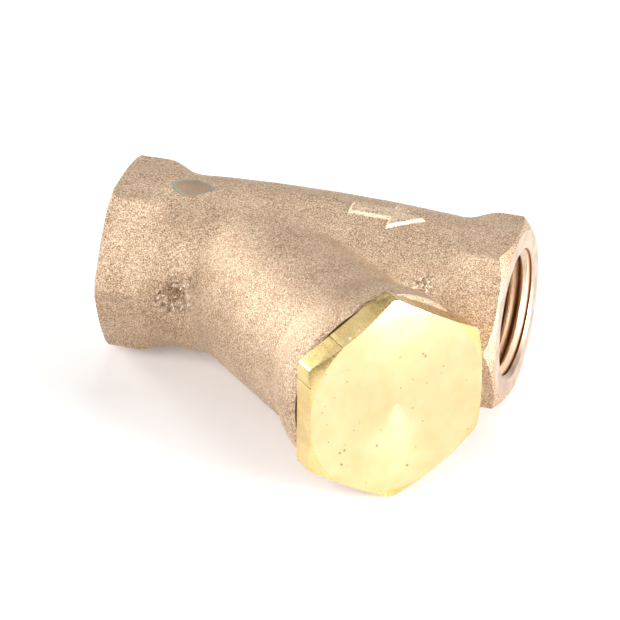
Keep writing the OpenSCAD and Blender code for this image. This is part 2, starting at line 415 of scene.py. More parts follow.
def arrowFlank(p, point):
    # painted highlight on the arrow's flanks: where the skin stands just proud of the barrel, broken into
    # patches by noise
    s = bodySpec
    spec = dict(low=(0.06, 0.14), high=(0.56, 0.48), side=(5.4, 5.0), top=(11.0, 12.0), worn=(0.36, 0.5),
                endOuter=0.6, endInner=0.4)
    x, y, z = p.split(point)
    sideways = p.maths("ABSOLUTE", y)
    radius = p.maths("SQRT", p.maths("ADD", p.maths("POWER", sideways, 2.0), p.maths("POWER", z, 2.0)))
    out = p.maths("DIVIDE", x, s["shoulderFoot"])
    proud = p.maths("ADD", p.maths("SUBTRACT", radius, s["barrel"]), p.times(out, out, s["barrelDrop"]))
    aside = p.maths("ABSOLUTE", p.maths("SUBTRACT", x, s["arrowMiddle"]))
    half = s["arrowLength"] / 2
    return p.times(p.span(proud, *spec["low"]), p.span(proud, *spec["high"]),
                   p.span(aside, half + spec["endOuter"], half + spec["endInner"]),
                   p.span(sideways, *spec["side"]), p.span(z, *spec["top"]),
                   p.span(p.noise(point, scale=4.6, detail=3.0, rough=0.6), *spec["worn"]))


def castBronze():
    look = tones(dark=(134, 104, 82), mid=(197, 168, 140), light=(236, 216, 188), glint=(255, 242, 216),
                 groundEdge=(160, 166, 152), ground=(164, 140, 118), pit=(70, 48, 36), chip=(255, 246, 226),
                 ridge=(248, 230, 202))
    cover = dict(glint=0.7, ground=0.85, groundEdge=0.75, pit=0.7, chip=0.9)
    edges = dict(tone=(0.36, 0.64), ground=(1.0, 0.9), inner=(0.7, 0.84), outer=(1.08, 1.0), pit=(0.52, 0.62),
                 chip=(0.4, 0.34), near=(1.1, 0.3))
    groundSpot = dict(x=-21.2, turn=84.5, long=3.7, wide=2.7, ragged=0.35)
    pitGrowth, pitRagged = 1.6, 1.4
    material, p, shader = newMaterial("castBronze", Metallic=0.85, Roughness=0.5)
    point = p.localPoint(runPlace)
    grain = p.grouped(grainGroup, point, Grain=4.6, Speckle=0.35)
    colour = p.node("ShaderNodeValToRGB", {0: p.span(grain["Tone"], *edges["tone"])})
    stops = colour.color_ramp.elements
    stops[0].color = look["dark"]
    stops[1].color = look["light"]
    stops.new(0.5).color = look["mid"]
    # painted highlight: the grain's glints are mixed into the base colour as a near-white tone
    finish = p.blend(p.times(grain["Glint"], cover["glint"]), colour.outputs[0], look["glint"])
    leaf = surfaceSpot(p, point, **groundSpot)
    ground = p.span(leaf, *edges["ground"])
    groundEdge = p.times(p.span(leaf, *edges["inner"]), p.span(leaf, *edges["outer"]))
    finish = p.blend(p.times(ground, cover["ground"]), finish, look["ground"])
    finish = p.blend(p.times(groundEdge, cover["groundEdge"]), finish, look["groundEdge"])
    pit = p.span(p.noise(point, scale=2.2, detail=3.0, rough=0.65), *edges["pit"])
    # painted highlight: bright glints scattered among the dark pits
    chip = p.span(p.noise(point, scale=1.5), *edges["chip"])
    for spot in pitSpots:
        region = surfaceSpot(p, point, spot["x"], spot["turn"], spot["long"] * pitGrowth,
                             spot["wide"] * pitGrowth, pitRagged)
        near = p.span(region, *edges["near"])
        finish = p.blend(p.times(near, pit, cover["pit"]), finish, look["pit"])
        finish = p.blend(p.times(near, chip, cover["chip"]), finish, look["chip"])
    # painted highlight along the arrow's flanks
    finish = p.blend(arrowFlank(p, point), finish, look["ridge"])
    p.feed(shader, "Base Color", finish)
    p.feed(shader, "Roughness", p.span(grain["Tone"], 0.3, 0.7, toLow=0.62, toHigh=0.4))
    height = p.times(grain["Height"], p.span(ground, 0.0, 1.0, toLow=1.0, toHigh=0.3))
    p.feed(shader, "Normal", p.bump(height, 0.00017))
    return material


def machinedBronze():
    look = tones(low=(184, 160, 138), high=(208, 188, 168))
    material, p, shader = newMaterial("machinedBronze", Metallic=0.9, Roughness=0.36)
    point = p.localPoint(runPlace @ towardsOutlet)
    marks = p.grouped(toolGroup, point, Pitch=0.22, Facing=1.0)
    stain = p.span(p.noise(point, scale=0.35, detail=3.0, rough=0.55), 0.35, 0.65)
    p.feed(shader, "Base Color", p.blend(stain, look["low"], look["high"]))
    p.feed(shader, "Roughness", p.span(marks["Tone"], 0.3, 0.7, toLow=0.32, toHigh=0.46))
    p.feed(shader, "Normal", p.bump(marks["Height"], 0.00004))
    return material


def threadBronze(place, name, crest, root):
    look = tones(root=(150, 98, 56), crest=(240, 214, 184))
    material, p, shader = newMaterial(name, Metallic=0.95, Roughness=0.3)
    marks = p.grouped(toolGroup, p.localPoint(place), Pitch=0.08, Facing=0.0)
    depth = p.span(marks["Radius"], crest, root)
    # painted shade: the thread roots are darkened as if shadowed in the grooves, and the crests keep the
    # lighter colour
    p.feed(shader, "Base Color", p.blend(p.span(depth, 0.7, 1.0), look["crest"], look["root"]))
    p.feed(shader, "Roughness", p.span(depth, 0.0, 1.0, toLow=0.34, toHigh=0.55))
    p.feed(shader, "Normal", p.bump(marks["Height"], 0.00002))
    return material


def turnedBrass():
    look = tones(low=(232, 196, 146), high=(240, 206, 160), pit=(150, 100, 60))
    pitSizes = (dict(scale=0.42, rarity=0.7, size=0.13), dict(scale=0.9, rarity=0.82, size=0.16))
    spec = dict(pitNoise=0.08, pitOuter=0.04, pitInner=0.03, pitCover=0.75, sheerR=6.0, sheer=-0.08)
    material, p, shader = newMaterial("turnedBrass", Metallic=1.0, Roughness=0.25, Anisotropic=0.55)
    point = p.localPoint(branchPlace)
    marks = p.grouped(toolGroup, point, Pitch=0.12, Facing=1.0)
    stain = p.span(p.noise(point, scale=0.22, detail=3.0, rough=0.55), 0.35, 0.65)
    colour = p.blend(stain, look["low"], look["high"])
    for pits in pitSizes:
        distance, chance = p.cells(point, pits["scale"])
        ragged = p.maths("ADD", distance, p.times(p.noise(point, scale=4.0), spec["pitNoise"]))
        pit = p.times(p.span(ragged, pits["size"] + spec["pitOuter"], pits["size"] - spec["pitInner"]),
                      p.maths("GREATER_THAN", chance, pits["rarity"]))
        colour = p.blend(p.times(pit, spec["pitCover"]), colour, look["pit"])
    p.feed(shader, "Base Color", colour)
    sheer = p.span(marks["Radius"], 0.0, spec["sheerR"], toLow=spec["sheer"], toHigh=0.0)
    marked = p.span(marks["Tone"], 0.3, 0.7, toLow=0.22, toHigh=0.28)
    p.feed(shader, "Roughness", p.maths("ADD", marked, sheer))
    p.feed(shader, "Normal", p.bump(marks["Height"], 0.000012))
    # the gleam runs across the turning marks, so the tangent points outwards from the axis
    outwards = p.node("ShaderNodeVectorMath", {0: point, 1: (1, 1, 0)}, operation="MULTIPLY").outputs[0]
    turned = p.node("ShaderNodeMapping", {"Vector": outwards, "Rotation": branchPlace.to_euler()},
                    vector_type="VECTOR").outputs[0]
    world = p.node("ShaderNodeVectorTransform", {0: turned}, vector_type="VECTOR", convert_from="OBJECT",
                   convert_to="WORLD").outputs[0]
    p.feed(shader, "Tangent", world)
    return material


def drawnBrass(clock):
    look = tones(low=(216, 188, 124), high=(228, 202, 142), scratch=(128, 104, 56), smudge=(116, 100, 54),
                 bright=(255, 250, 226))
    scribes = (dict(flat=120, at=2.4, smudged=True), dict(flat=180, at=-6.1, smudged=False))
    spec = dict(flatFrom=15.2, line=(0.14, 0.06), cover=0.7, smudge=(-4.6, -6.4), nick=(2.2, 1.6),
                nickHeight=(hexS + 2.2, hexS + 2.6), streakDepth=0.2)
    material, p, shader = newMaterial("drawnBrass", Metallic=1.0, Roughness=0.24)
    point = p.localPoint(branchPlace)
    streaks = p.noise(p.stretched(point, 0.2), scale=1.6, detail=3.0, rough=0.6)
    stain = p.span(p.noise(point, scale=0.3), 0.35, 0.65)
    colour = p.blend(stain, look["low"], look["high"])

    def along(way):
        return p.node("ShaderNodeVectorMath", {0: point, 1: way}, operation="DOT_PRODUCT").outputs["Value"]

    deep = 0.0
    for mark in scribes:
        a = math.radians(mark["flat"] + clock)
        onFlat = p.maths("GREATER_THAN", along((-math.sin(a), math.cos(a), 0)), spec["flatFrom"])
        sideways = along((-math.cos(a), -math.sin(a), 0))
        offLine = p.maths("ABSOLUTE", p.maths("SUBTRACT", sideways, mark["at"]))
        line = p.times(p.span(offLine, *spec["line"]), onFlat)
        colour = p.blend(p.times(line, spec["cover"]), colour, look["scratch"])
        deep = p.maths("ADD", line, deep)
        if mark["smudged"]:
            uneven = p.span(p.noise(point, scale=0.9, detail=3.0), 0.35, 0.6)
            smudge = p.times(p.span(sideways, *spec["smudge"]), uneven, onFlat, spec["cover"])
            colour = p.blend(smudge, colour, look["smudge"])
            nick = p.times(p.span(p.maths("ABSOLUTE", sideways), *spec["nick"]), onFlat,
                           p.span(along((0, 0, 1)), *spec["nickHeight"]),
                           p.span(p.noise(point, scale=1.8), 0.6, 0.66))
            colour = p.blend(nick, colour, look["bright"])
    p.feed(shader, "Base Color", colour)
    p.feed(shader, "Roughness", p.span(streaks, 0.3, 0.7, toLow=0.22, toHigh=0.32))
    height = p.maths("SUBTRACT", p.times(streaks, spec["streakDepth"]), deep)
    p.feed(shader, "Normal", p.bump(height, 0.00005))
    return material


def gasketFibre():
    look = tones(low=(44, 32, 24), high=(96, 72, 52))
    material, p, shader = newMaterial("gasketFibre", Roughness=0.85)
    strands = p.noise(p.localPoint(branchPlace), scale=3.0, detail=4.0, rough=0.7)
    p.feed(shader, "Base Color", p.blend(p.span(strands, 0.3, 0.7), look["low"], look["high"]))
    p.feed(shader, "Normal", p.bump(strands, 0.00008))
    return material


def stainlessSheet():
    look = tones(low=(150, 152, 154), high=(196, 198, 200))
    material, p, shader = newMaterial("stainlessSheet", Metallic=1.0, Roughness=0.34)
    grain = p.noise(p.stretched(p.localPoint(branchPlace), 8.0), scale=0.8, detail=3.0, rough=0.6)
    p.feed(shader, "Base Color", p.blend(p.span(grain, 0.3, 0.7), look["low"], look["high"]))
    p.feed(shader, "Roughness", p.span(grain, 0.3, 0.7, toLow=0.28, toHigh=0.42))
    p.feed(shader, "Normal", p.bump(grain, 0.00002))
    return material


def stainlessWire():
    look = tones(low=(120, 122, 124), high=(184, 186, 188))
    material, p, shader = newMaterial("stainlessWire", Metallic=1.0, Roughness=0.3)
    tone = p.noise(p.localPoint(branchPlace), scale=1.4, rough=0.6)
    p.feed(shader, "Base Color", p.blend(p.span(tone, 0.3, 0.7), look["low"], look["high"]))
    p.feed(shader, "Roughness", p.span(tone, 0.3, 0.7, toLow=0.26, toHigh=0.4))
    return material


def wayTo(azimuth, elevation):
    # unit vector from what is aimed at towards a camera or a lamp
    az, el = math.radians(azimuth), math.radians(elevation)
    return Vector((math.sin(az) * math.cos(el), -math.cos(az) * math.cos(el), math.sin(el)))


def makeCamera():
    spec = dict(azimuth=15.19, elevation=27.34, roll=2.30, distance=1005.1, aim=(4.55, -21.22, 5.90),
                lens=366.7)
    az, roll = math.radians(spec["azimuth"]), math.radians(spec["roll"])
    back = wayTo(spec["azimuth"], spec["elevation"])
    right = Vector((math.cos(az), math.sin(az), 0))
    up = back.cross(right)
    rightRolled = right * math.cos(roll) + up * math.sin(roll)
    upRolled = up * math.cos(roll) - right * math.sin(roll)
    spot = Vector(spec["aim"]) + back * spec["distance"]
    data = bpy.data.cameras.new("camera")
    data.lens = spec["lens"]
    data.sensor_width = 36
    data.clip_start = 0.05
    camera = newObject("camera", data)
    camera.matrix_world = (Matrix.Translation(runPlace @ spot) @ axes(alongRun, acrossRun, upRun)
                           @ axes(rightRolled, upRolled, back))
    bpy.context.scene.camera = camera


def makeFloor():
    spec = dict(half=3.0, tone=(0.9, 0.885, 0.88), glow=0.16)
    bm = bmesh.new()
    bmesh.ops.create_grid(bm, x_segments=1, y_segments=1, size=spec["half"])
    floor = toObject("floor", bm)
    floor.location.z = cadBox[0].z
    material = bpy.data.materials.new("tableTop")
    material.use_nodes = True
    p = Painter(material.node_tree)
    material.node_tree.nodes.clear()
    matte = p.node("ShaderNodeBsdfDiffuse", {"Color": spec["tone"] + (1,)})
    glow = p.node("ShaderNodeEmission", {"Color": (1, 1, 1, 1), "Strength": spec["glow"]})
    path = p.node("ShaderNodeLightPath").outputs
    seen = p.maths("MAXIMUM", path["Is Camera Ray"], path["Is Glossy Ray"], path["Is Transmission Ray"])
    nothing = p.node("ShaderNodeEmission", {"Strength": 0.0})
    lit = p.node("ShaderNodeMixShader", {0: seen, 1: nothing.outputs[0], 2: glow.outputs[0]})
    both = p.node("ShaderNodeAddShader", {0: matte.outputs[0], 1: lit.outputs[0]})
    p.node("ShaderNodeOutputMaterial", {"Surface": both.outputs[0]})
    floor.data.materials.append(material)


def makeWorld():
    # a backdrop that shows white, and that lights and mirrors as a soft band behind the object
    spec = dict(base=0.06, mirrored=0.22, band=0.95, behind=(-0.15, 0.3), rising=(0.15, 0.4),
                falling=(0.9, 0.65))
    world = bpy.data.worlds.new("studio")
    bpy.context.scene.world = world
    world.use_nodes = True
    p = Painter(world.node_tree)
    world.node_tree.nodes.clear()
    way = p.split(p.node("ShaderNodeTexCoord").outputs["Generated"])
    behind = p.span(way[1], *spec["behind"], smooth=True)
    rising = p.span(way[2], *spec["rising"], smooth=True)
    falling = p.span(way[2], *spec["falling"], smooth=True)
    band = p.times(behind, p.times(rising, falling))
    path = p.node("ShaderNodeLightPath").outputs
    lowest = p.span(path["Is Glossy Ray"], 0.0, 1.0, toLow=spec["base"], toHigh=spec["mirrored"])
    strength = p.maths("MAXIMUM", lowest, p.times(band, spec["base"] + spec["band"]))
    light = p.node("ShaderNodeBackground", {"Strength": strength})
    white = p.node("ShaderNodeBackground", {"Strength": 1.0})
    seen = p.maths("MAXIMUM", path["Is Camera Ray"], path["Is Transmission Ray"])
    both = p.node("ShaderNodeMixShader", {0: seen, 1: light.outputs[0], 2: white.outputs[0]})
    p.node("ShaderNodeOutputWorld", {"Surface": both.outputs[0]})


def makeLamps():
    lamps = (
        dict(name="keyPanel", azimuth=-27, elevation=35, distance=0.9, size=0.65, power=6.2),
        dict(name="sidePanel", azimuth=75, elevation=15, distance=0.9, size=0.4, power=17.0),
        dict(name="leftPanel", azimuth=-110, elevation=15, distance=0.9, size=0.4, power=5.0),
        dict(name="backPanel", azimuth=180, elevation=60, distance=0.9, size=0.5, power=1.8),
    )
    aim = (cadBox[0] + cadBox[1]) / 2
    for lamp in lamps:
        back = wayTo(lamp["azimuth"], lamp["elevation"])
        data = bpy.data.lights.new(lamp["name"], "AREA")
        data.energy = lamp["power"]
        data.size = lamp["size"]
        panel = newObject(lamp["name"], data)
        panel.location = aim + back * lamp["distance"]
        panel.rotation_euler = back.to_track_quat("Z", "Y").to_euler()


bpy.context.scene.view_settings.view_transform = "Standard"
makeCamera()
makeFloor()
makeWorld()
makeLamps()
print("stage ready")


def softMin(a, b, k):
    h = np.clip(0.5 + 0.5 * (b - a) / k, 0, 1)
    return b + (a - b) * h - k * h * (1 - h)


def softMax(a, b, k):
    return -softMin(-a, -b, k)


def runField(p):
    # distance from the outside of the run: a barrel with a slight belly and two rounded hex collars
    s = bodySpec
    x, y, z = p.T
    r = np.hypot(y, z)
    away = np.abs(x)
    barrel = r - (s["barrel"] - s["barrelDrop"] * np.clip(away / s["shoulderFoot"], 0, 1) ** 2)
    flats = [np.abs(y * math.cos(a) + z * math.sin(a)) - s["flats"] / 2
             for a in (math.radians(30), math.radians(90), math.radians(150))]
    collar = softMax(softMax(flats[0], flats[1], s["collarSoft"]), flats[2], s["collarSoft"])
    rise = s["shoulderRise"]
    shoulder = (r - s["shoulderR"] - rise * (away - s["shoulderFoot"])) / math.hypot(1, rise)
    collar = softMax(collar, shoulder, s["shoulderSoft"])
    collar = softMax(collar, s["shoulderFoot"] - s["neckBack"] - away, s["neckSoft"])
    return softMin(barrel, collar, s["runSoft"])


def branchField(p):
    # distance from the outside of the branch: a cylinder that widens to its head
    s = bodySpec
    back = np.array(branchInRun.inverted())
    q = p @ back[:3, :3].T + back[:3, 3]
    r = np.hypot(q[:, 0], q[:, 1])
    t = np.clip((q[:, 2] - s["taperFrom"]) / (s["taperTo"] - s["taperFrom"]), 0, 1)
    radius = s["branch"] + (s["head"] - s["branch"]) * t * t * (3 - 2 * t)
    return softMax(r - radius, -q[:, 2], s["footSoft"])


def gradient(field, p, step=0.02):
    out = np.empty_like(p)
    for i in range(3):
        d = np.zeros(3)
        d[i] = step
        out[:, i] = (field(p + d) - field(p - d)) / (2 * step)
    return out


def bodyField(p, k):
    return softMin(runField(p), branchField(p), k)


def fillet(p):
    # a wide cast fillet where run and branch meet at a sharp angle, hardly any where they run together
    least, more, sharpest = 0.8, 3.6, 1.7
    a, b = gradient(runField, p), gradient(branchField, p)
    cosine = (a * b).sum(1) / np.maximum(np.linalg.norm(a, axis=1) * np.linalg.norm(b, axis=1), 1e-6)
    return least + more * np.clip(1 - cosine, 0, sharpest) / sharpest


def settle(p, edges):
    # slides the points onto the casting's surface; all rounds but the last two even out their spacing
    spec = dict(rounds=8, evening=6, leastSlope=0.2, longest=1.5)
    count = np.bincount(edges.ravel(), minlength=len(p))[:, None]
    for turn in range(spec["rounds"]):
        if turn < spec["evening"]:
            total = np.zeros_like(p)
            np.add.at(total, edges[:, 0], p[edges[:, 1]])
            np.add.at(total, edges[:, 1], p[edges[:, 0]])
            p = p * 0.5 + total / count * 0.5
        k = fillet(p)
        slope = gradient(lambda q: bodyField(q, k), p)
        step = bodyField(p, k) / np.maximum((slope ** 2).sum(1), spec["leastSlope"])
        p = p - np.clip(step, -spec["longest"], spec["longest"])[:, None] * slope
    return p


def roughCasting():
    # the casting's rough outline as an even mesh; both ports and the rim stick out and are cut later
    s = bodySpec
    sides, inset = 64, 0.3
    bm = bmesh.new()
    addPrism(bm, sides, s["shoulderR"], s["shoulderR"], 2 * (portFace + s["spare"]), towardsOutlet)
    width = s["collarWidth"] + s["spare"]
    across = hexCorner(s["flats"]) - inset
    for side in (-1, 1):
        middle = side * (portFace + s["spare"] - width / 2)
        addPrism(bm, 6, across, across, width, Matrix.Translation((middle, 0, 0)) @ towardsOutlet)
    reach = s["rim"] + s["spare"]
    addPrism(bm, sides, s["branch"], s["head"], reach, branchInRun @ raised(reach / 2))
    obj = toObject("bodyCasting", bm)
    step = obj.modifiers.new("even", "REMESH")
    step.mode = "VOXEL"
    step.voxel_size = s["voxel"]
    applied(obj)
    return obj


def arrowHeight(x, across):
    # height of the flow arrow over the barrel, from its outline's signed distance
    s = bodySpec
    flankWidth, flankStart, overlap = 0.68, 0.6, 1
    fromTail = x - (s["arrowMiddle"] - s["arrowLength"] / 2)
    across = np.abs(across)
    neck = s["arrowLength"] - s["arrowHead"]
    shaft = np.maximum(across - s["arrowShaft"] / 2, np.maximum(-fromTail, fromTail - neck - overlap))
    slope = s["arrowWidth"] / 2 / s["arrowHead"]
    edge = (across - (s["arrowLength"] - fromTail) * slope) / math.hypot(1, slope)
    head = np.maximum(edge, neck - fromTail)
    inside = -np.minimum(shaft, head)
    t = np.clip(inside / flankWidth + flankStart, 0, 1)
    return s["arrowHeight"] * t * t * (3 - 2 * t)


def castDetails(p):
    # lifts the points off the surface: the raised arrow, the pits and the casting's slight unevenness
    s = bodySpec
    spec = dict(pitReach=1.6, pitScale=1.7, pitLevel=0.05, pitMost=0.3)
    waves = ((0.22, 0.05), (0.9, 0.035), (2.1, 0.02))
    k = fillet(p)
    normal = gradient(lambda q: bodyField(q, k), p)
    normal /= np.linalg.norm(normal, axis=1)[:, None]
    tilt = np.arctan2(-p[:, 1], p[:, 2]) - math.radians(s["arrowTurn"])
    lift = np.where(p[:, 2] > 0, arrowHeight(p[:, 0], tilt * s["barrel"]), 0)
    for spot in pitSpots:
        turn = (np.arctan2(p[:, 2], -p[:, 1]) - math.radians(spot["turn"])) * s["barrel"]
        away = np.hypot((p[:, 0] - spot["x"]) / spot["long"], turn / spot["wide"])
        near = np.clip(spec["pitReach"] - away, 0, 1)
        for i in np.nonzero(near > 0)[0]:
            rough = min(noise.noise(Vector(p[i]) * spec["pitScale"]) - spec["pitLevel"], spec["pitMost"])
            lift[i] += spot["deep"] * near[i] * rough
    wave = np.array([sum(noise.noise(Vector(q) * scale) * size for scale, size in waves) for q in p])
    return p + normal * (lift + wave)[:, None]


def meshPoints(mesh):
    p = np.empty(len(mesh.vertices) * 3)
    mesh.vertices.foreach_get("co", p)
    return p.reshape(-1, 3)


def refine(bm, chosen, cuts):
    # splits the edges whose ends are both in a chosen region
    edges = [e for e in bm.edges if all(chosen(*v.co) for v in e.verts)]
    bmesh.ops.subdivide_edges(bm, edges=edges, cuts=cuts, use_grid_fill=True)


def shapeCasting(obj):
    arrow = dict(tail=bodySpec["arrowMiddle"] - bodySpec["arrowLength"] / 2, margin=1, side=5.5, low=12)
    pits = dict(x=pitSpots[0]["x"], long=4.2, side=-8, z=0.2, high=5)

    def onArrow(x, y, z):
        fromTail = arrow["tail"] - arrow["margin"]
        toTip = arrow["tail"] + bodySpec["arrowLength"] + arrow["margin"]
        return fromTail < x < toTip and abs(y) < arrow["side"] and z > arrow["low"]

    def onPits(x, y, z):
        return abs(x - pits["x"]) < pits["long"] and y < pits["side"] and abs(z - pits["z"]) < pits["high"]

    mesh = obj.data
    edges = np.empty(len(mesh.edges) * 2, int)
    mesh.edges.foreach_get("vertices", edges)
    mesh.vertices.foreach_set("co", settle(meshPoints(mesh), edges.reshape(-1, 2)).ravel())
    bm = bmesh.new()
    bm.from_mesh(mesh)
    refine(bm, onArrow, cuts=2)
    refine(bm, onPits, cuts=1)
    bm.to_mesh(mesh)
    bm.free()
    mesh.vertices.foreach_set("co", castDetails(meshPoints(mesh)).ravel())
    mesh.update()


cast, machined, threaded = 0, 1, 2   # the body's material slots
portThread = dict(crest=9.2, root=10.6, pitch=1.814)
seat = dict(lip=7.6, pocket=9.3, pocketS=2.0, topS=3.5, web=3.0, chamber=11.4)


def cutPorts(obj):
    # faces both collars, then cuts their threads and countersinks
    port = dict(depth=12.0, mouth=10.9, taper=1 / 32, lead=0.6)
    faces = {-1: dict(cornerR=15.15, drop=1.0, run=1.4), 1: dict(cornerR=13.75, drop=1.6, run=2.25)}
    clearR, clear = 22, 6
    crest, root, pitch = portThread["crest"], portThread["root"], portThread["pitch"]
    for side, face in faces.items():
        turn = Matrix.Rotation(math.radians(90 * side), 4, "Y")
        outwards = Matrix.Translation((side * portFace, 0, 0)) @ turn
        inwards = outwards @ Matrix.Rotation(math.pi, 4, "X")
        end = lathe([(0, 0), (face["cornerR"], 0), (face["cornerR"] + face["run"], -face["drop"]),
                     (clearR, -face["drop"]), (clearR, clear), (0, clear)], machined)
        setFinish(end, cast, beyondR=face["cornerR"])
        carve(obj, moved(end, outwards))
        carve(obj, moved(threadRod(crest, root, pitch, port["depth"], threaded, port["taper"]), inwards))
        lead = port["mouth"] - crest + port["lead"]
        sink = lathe([(0, -1), (port["mouth"] + 1, -1), (port["mouth"] - lead, lead), (0, lead)], machined)
        carve(obj, moved(sink, inwards))


def cutPassages(obj):
    # the inlet's passage ends under the seat's web, the outlet's starts above the seat
    passageR, sides, short = 8.2, 64, 4
    half = portFace - short
    branchWay = (branchInRun.to_3x3() @ Vector((0, 0, 1))).normalized()
    for cutS, beyond in ((seat["topS"] - seat["web"], branchWay), (seat["topS"], -branchWay)):
        passage = lathe([(0, -half), (passageR, -half), (passageR, half), (0, half)], cast, sides)
        moved(passage, towardsOutlet)
        cutOff(passage, branchInRun.translation + branchWay * cutS, beyond)
        setFinish(passage, cast)
        carve(obj, passage)


def cutBranch(obj):
    # the seat's lip and pocket, the chamber, the rim's face and the thread for the cap
    bore = dict(crest=12.4, root=13.1, pitch=1.5, fromS=34.05, over=2)
    spec = dict(overlap=0.01, clear=8, rimBack=0.2, cutBack=2, cutR=24, cutHigh=6)
    rimS = bodySpec["rim"]
    lowS = seat["topS"] - seat["web"] - spec["overlap"]
    highS = rimS + spec["clear"]
    chamber = lathe([(0, lowS), (seat["lip"], lowS), (seat["lip"], seat["pocketS"]),
                     (seat["pocket"], seat["pocketS"]), (seat["pocket"], seat["topS"]),
                     (seat["chamber"], seat["topS"]), (seat["chamber"], highS), (0, highS)], machined)
    carve(obj, moved(chamber, branchInRun))
    flatR = bodySpec["head"] - bodySpec["rimBevel"] + spec["rimBack"]
    edgeS, topS = rimS - spec["cutBack"], rimS + spec["cutHigh"]
    face = lathe([(0, rimS), (flatR, rimS), (flatR + spec["cutBack"], edgeS), (spec["cutR"], edgeS),
                  (spec["cutR"], topS), (0, topS)], machined)
    setFinish(face, cast, beyondR=flatR)
    carve(obj, moved(face, branchInRun))
    deep = rimS - bore["fromS"]
    rod = threadRod(bore["crest"], bore["root"], bore["pitch"], deep + bore["over"], threaded)
    carve(obj, moved(rod, branchInRun @ raised(bore["fromS"])))


def buildBody():
    obj = roughCasting()
    print("rough casting", len(obj.data.vertices))
    crest, root = portThread["crest"], portThread["root"]
    for made in (castBronze(), machinedBronze(),
                 threadBronze(runPlace @ towardsOutlet, "threadBronze", crest, root)):
        obj.data.materials.append(made)
    shapeCasting(obj)
    cutPorts(obj)
    cutPassages(obj)
    cutBranch(obj)
    finishPiece(obj, runPlace, "body", "strainer_body")


buildBody()


def buildCap():
    spec = dict(flats=30.8, thick=4.55, faceR=15.5, drop=1.15, clock=1.6, shankS=37.05, shankR=12.34,
                rootR=11.55, pitch=1.5, lead=1.0, relief=1.4, reliefR=11.5, lap=0.5, recessR=9.35,
                recessDepth=7.4, recessSoft=0.3, dimpleR=0.35, dimpleDeep=0.12, cornerSoft=0.75, clear=2,
                edgeOut=0.05, edgeFall=0.03, edgeIn=0.1, shadeCrest=12.3, shadeRoot=11.5)
    face, flats, thread = 0, 1, 2
    corner = hexCorner(spec["flats"])
    topS = hexS + spec["thick"]
    bm = bmesh.new()
    addPrism(bm, 6, corner, corner, spec["thick"], raised(hexS + spec["thick"] / 2)
             @ Matrix.Rotation(math.radians(30 + spec["clock"]), 4, "Z"))
    upright = [e for e in bm.edges if abs(e.verts[0].co.z - e.verts[1].co.z) > 1]
    bmesh.ops.bevel(bm, geom=upright, offset=spec["cornerSoft"], offset_type="OFFSET", segments=4,
                    profile=0.5, affect="EDGES", material=-1)
    setFinish(bm, flats)
    obj = toObject("capPlug", bm)
    for made in (turnedBrass(), drawnBrass(spec["clock"]),
                 threadBronze(branchPlace, "threadBrass", spec["shadeCrest"], spec["shadeRoot"])):
        obj.data.materials.append(made)
    domeR = corner + spec["clear"]
    dome = lathe([(0, hexS - 1), (domeR, hexS - 1), (domeR, topS - spec["drop"] * 2),
                  (spec["faceR"] + spec["edgeOut"], topS - spec["edgeFall"]),
                  (spec["faceR"] - spec["edgeIn"], topS), (spec["dimpleR"], topS),
                  (0, topS - spec["dimpleDeep"])], face, steps=192)
    setFinish(dome, flats, beyondR=spec["faceR"])
    carve(obj, dome, "INTERSECT")
    shankS, neckS = spec["shankS"], hexS - spec["relief"]
    rod = threadRod(spec["shankR"], spec["rootR"], spec["pitch"], neckS - shankS, thread)
    carve(obj, moved(rod, raised(shankS)), "UNION")
    neck = lathe([(0, neckS - spec["lap"]), (spec["reliefR"], neckS - spec["lap"]),
                  (spec["reliefR"], hexS + spec["lap"]), (0, hexS + spec["lap"])], face)
    carve(obj, neck, "UNION")
    inR, outR = spec["shankR"] - spec["lead"], spec["shankR"] + spec["lead"]
    lead = lathe([(inR, shankS - spec["lead"]), (outR, shankS - spec["lead"]), (outR, shankS + spec["lead"]),
                  (inR, shankS - spec["lead"])], face)
    carve(obj, lead)
    recessR, soft = spec["recessR"], spec["recessSoft"]
    floorS = shankS + spec["recessDepth"]
    recess = lathe([(0, shankS - 1), (recessR + soft, shankS - 1), (recessR + soft, shankS),
                    (recessR, shankS + soft), (recessR, floorS), (0, floorS)], face)
    carve(obj, recess)
    finishPiece(obj, branchPlace, "cap", "cap", crease=20)


def buildGasket():
    spec = dict(inner=12.64, outer=15.14, thick=0.5, soft=0.1)
    i, o, t, e = spec["inner"], spec["outer"], spec["thick"], spec["soft"]
    points = [(i + e, 0), (o - e, 0), (o, e), (o, t - e), (o - e, t), (i + e, t), (i, t - e), (i, e),
              (i + e, 0)]
    obj = toObject("gasketRing", lathe([(r, z + hexS - t) for r, z in points]))
    obj.data.materials.append(gasketFibre())
    finishPiece(obj, branchPlace, "gasket", "cap_gasket", crease=60)


buildCap()
buildGasket()


basketSpec = dict(sleeveR=8.9, sheet=0.6, clothR=8.25, wire=0.17, fromS=2.8, toS=42.75, ringR=9.2, lipR=7.6,
                  ringWall=0.8, bandIn=8.95, ringHigh=3.0, topS=2.0, endS=44.15)


